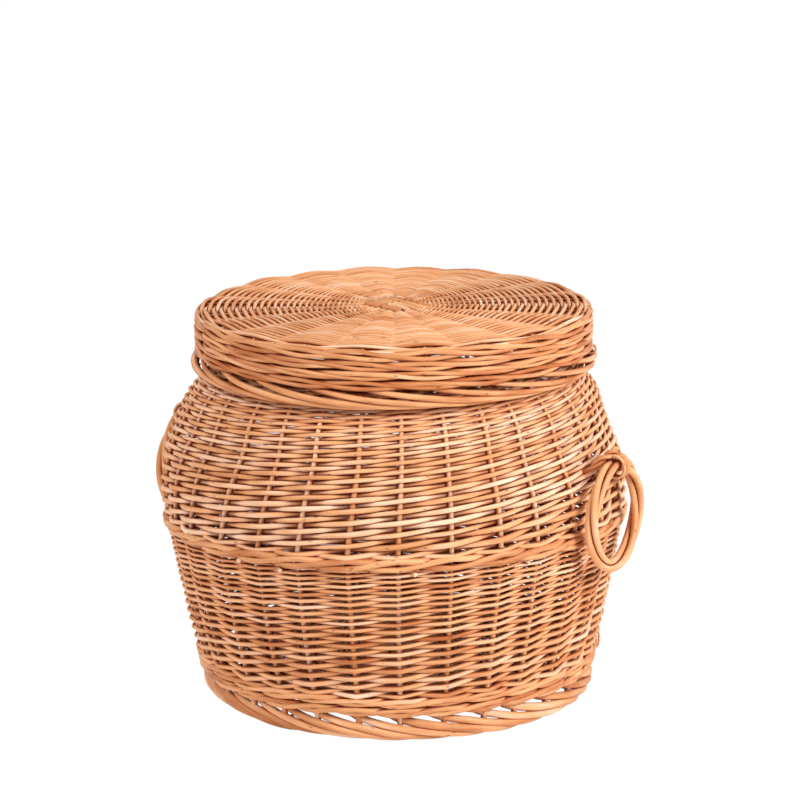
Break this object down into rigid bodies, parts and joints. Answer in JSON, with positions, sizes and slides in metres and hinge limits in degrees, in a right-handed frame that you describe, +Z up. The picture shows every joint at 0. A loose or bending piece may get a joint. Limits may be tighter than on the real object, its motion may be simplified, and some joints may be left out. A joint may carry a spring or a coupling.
{
  "type": "wicker laundry hamper",
  "caption": "Round woven willow laundry hamper with a swelling body on a foot border, a lift-off woven lid over its neck and a hanging ring handle on each side.",
  "frame": {"origin": "on the floor, under the middle of the round basket", "axes": "+Z up along the basket's axis, +X towards one ring handle and -X towards the other"},
  "size_m": [0.5216, 0.4672, 0.392],
  "materials": {
    "buff_willow_stakes": "peeled buff willow, satin, uncoated",
    "buff_willow_weavers": "peeled buff willow, satin, uncoated",
    "buff_willow_thick_rods": "peeled buff willow, satin, uncoated"
  },
  "bodies": {
    "basket": {"foot_border": "buff_willow_thick_rods", "base_sticks": "buff_willow_stakes", "base_weave": "buff_willow_weavers", "side_stake_01": "buff_willow_stakes", "side_stake_02": "buff_willow_stakes", "side_stake_03": "buff_willow_stakes", "side_stake_04": "buff_willow_stakes", "side_stake_05": "buff_willow_stakes", "side_stake_06": "buff_willow_stakes", "side_stake_07": "buff_willow_stakes", "side_stake_08": "buff_willow_stakes", "side_stake_09": "buff_willow_stakes", "side_stake_10": "buff_willow_stakes", "side_stake_11": "buff_willow_stakes", "side_stake_12": "buff_willow_stakes", "side_stake_13": "buff_willow_stakes", "side_stake_14": "buff_willow_stakes", "side_stake_15": "buff_willow_stakes", "side_stake_16": "buff_willow_stakes", "side_stake_17": "buff_willow_stakes", "side_stake_18": "buff_willow_stakes", "side_stake_19": "buff_willow_stakes", "side_stake_20": "buff_willow_stakes", "side_stake_21": "buff_willow_stakes", "side_stake_22": "buff_willow_stakes", "side_stake_23": "buff_willow_stakes", "side_stake_24": "buff_willow_stakes", "side_stake_25": "buff_willow_stakes", "side_stake_26": "buff_willow_stakes", "side_stake_27": "buff_willow_stakes", "side_stake_28": "buff_willow_stakes", "side_stake_29": "buff_willow_stakes", "side_stake_30": "buff_willow_stakes", "upsett_wale": "buff_willow_thick_rods", "lower_siding": "buff_willow_weavers", "belly_wale": "buff_willow_thick_rods", "upper_siding": "buff_willow_weavers", "neck_siding": "buff_willow_weavers", "rim_border": "buff_willow_thick_rods", "handle_loop_right": "buff_willow_thick_rods", "handle_loop_left": "buff_willow_thick_rods"},
    "lid": {"lid_sticks": "buff_willow_stakes", "lid_weave": "buff_willow_weavers", "lid_skirt": "buff_willow_thick_rods", "lid_border": "buff_willow_thick_rods"},
    "right_ring": {"handle_ring_right": "buff_willow_thick_rods"},
    "left_ring": {"handle_ring_left": "buff_willow_thick_rods"}
  },
  "joints": [
    {"name": "lid_lift", "type": "slide", "parent": "basket", "child": "lid", "axis": [0, 0, 1], "range_m": [0, 0.3]},
    {"name": "right_ring_swing", "type": "hinge", "parent": "basket", "child": "right_ring", "pos_m": [0.24476, 0, 0.25893], "axis": [0, -1, 0], "range_deg": [0, 85]},
    {"name": "left_ring_swing", "type": "hinge", "parent": "basket", "child": "left_ring", "pos_m": [-0.24476, 0, 0.25893], "axis": [0, 1, 0], "range_deg": [0, 85]}
  ]
}
